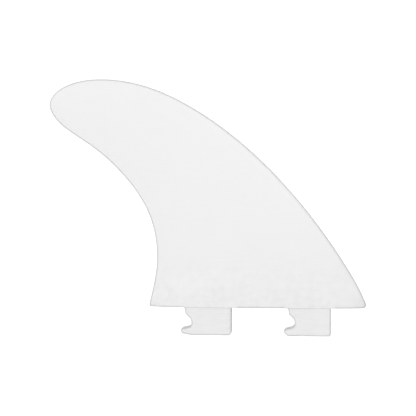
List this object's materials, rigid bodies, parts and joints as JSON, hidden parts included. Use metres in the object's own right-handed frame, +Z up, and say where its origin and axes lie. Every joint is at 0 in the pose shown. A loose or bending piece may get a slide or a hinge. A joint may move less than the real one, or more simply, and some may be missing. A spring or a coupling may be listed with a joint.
{
  "type": "surfboard fin",
  "caption": "Swept, foiled surfboard side fin with plug-in base tabs, each hooked at its trailing side; it steers and steadies a board.",
  "frame": {"origin": "on the blade's flat base, on its middle plane, midway between the two tabs", "axes": "+X towards the leading edge, +Z up the blade towards the tip, Y across the thickness"},
  "size_m": [0.1633, 0.0078, 0.1317],
  "materials": {
    "skin_laminate": "satin",
    "tab_plastic": "satin",
    "block_laminate": "satin",
    "edge_resin": "gloss",
    "foam": "matte"
  },
  "bodies": {
    "root": {"front_skin": "skin_laminate", "back_skin": "skin_laminate", "foam_core": "foam", "leading_edge_bead": "edge_resin", "trailing_edge_bead": "edge_resin", "tip_infill": "edge_resin", "base_block": "block_laminate", "front_tab": "tab_plastic", "rear_tab": "tab_plastic"}
  },
  "joints": []
}
